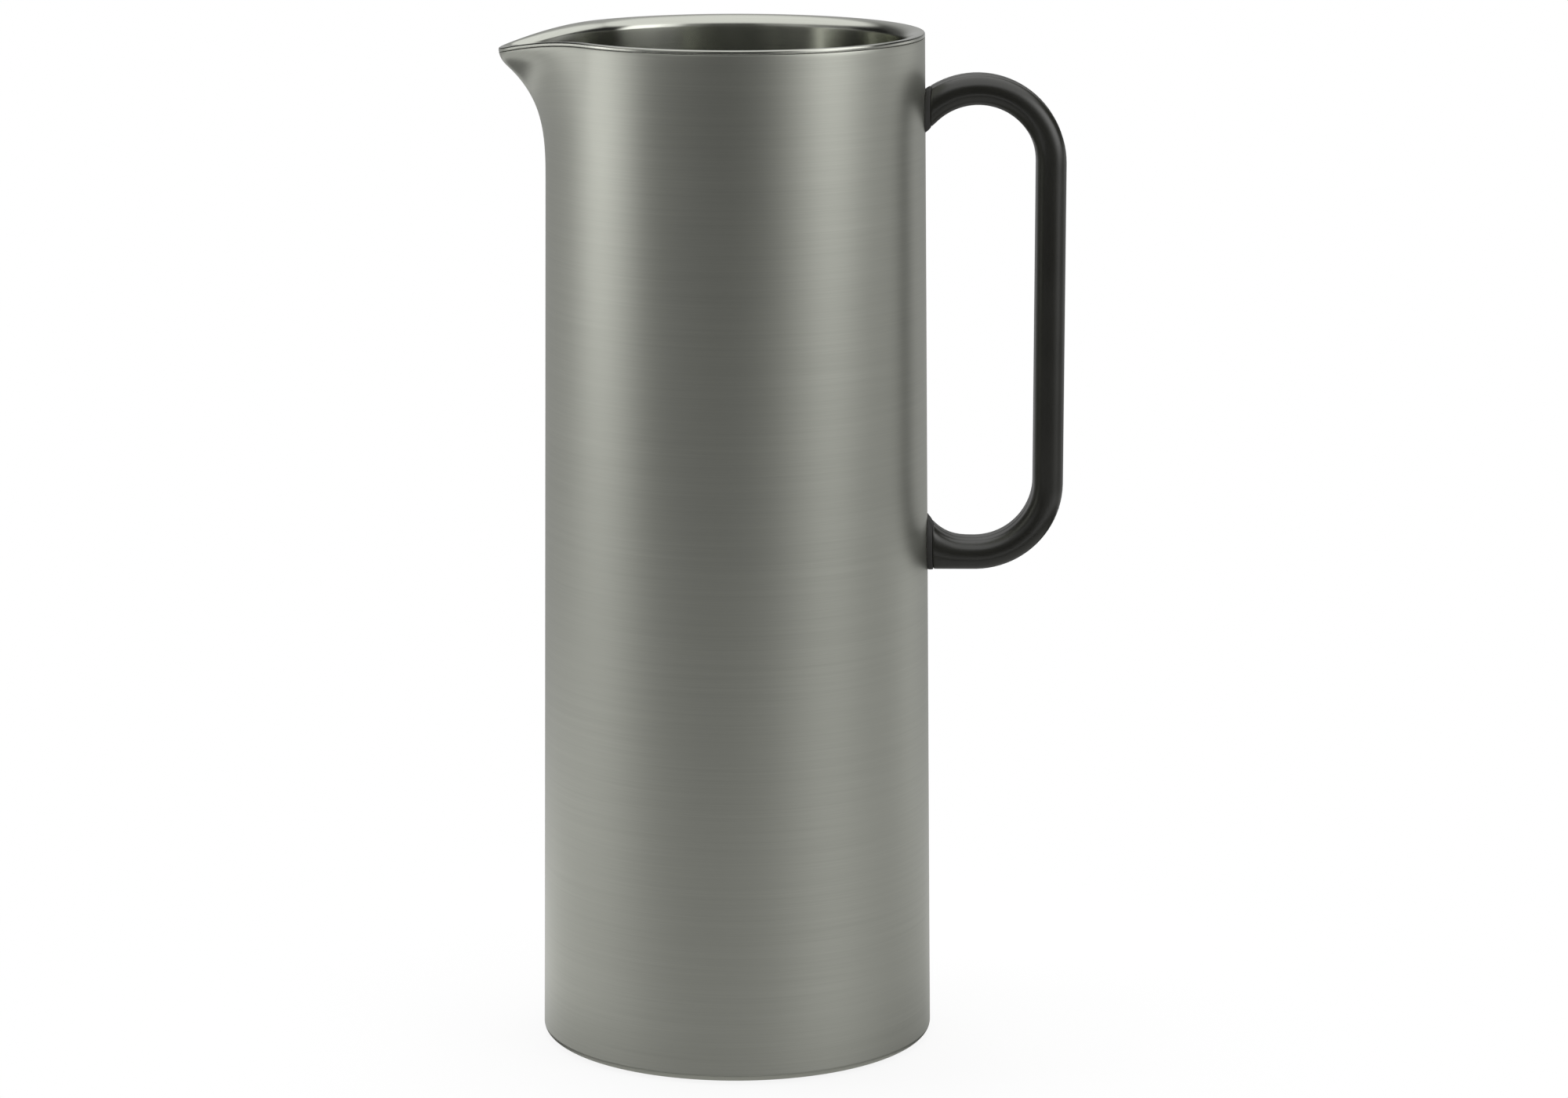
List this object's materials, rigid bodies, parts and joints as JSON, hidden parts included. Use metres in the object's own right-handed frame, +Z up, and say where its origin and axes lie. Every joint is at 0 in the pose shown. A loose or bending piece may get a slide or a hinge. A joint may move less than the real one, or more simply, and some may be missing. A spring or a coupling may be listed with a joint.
{
  "type": "insulated jug",
  "caption": "Tall double-walled steel jug with an open mouth, a drawn pouring spout and a black bent-bar handle.",
  "frame": {"origin": "on the jug's axis, on the surface that it stands on", "axes": "+Z up along the jug's axis, +X towards the handle, -X towards the spout"},
  "size_m": [0.1534, 0.1082, 0.279],
  "materials": {
    "steel_satin": "satin",
    "steel_polished": "polished",
    "steel_plain": "matte",
    "nylon_black": "satin",
    "silicone": "matte",
    "foam": "matte",
    "brass": "satin"
  },
  "bodies": {
    "root": {"outer_shell": "steel_satin", "inner_liner": "steel_polished", "base_plate": "steel_plain", "base_pad": "silicone", "insulation_sleeve": "foam", "insulation_disc": "foam", "handle": "nylon_black", "handle_gasket_upper": "silicone", "handle_gasket_lower": "silicone", "handle_insert_upper": "brass", "handle_insert_lower": "brass", "handle_screw_upper": "steel_plain", "handle_screw_lower": "steel_plain", "backing_plate_upper": "steel_plain", "backing_plate_lower": "steel_plain"}
  },
  "joints": []
}
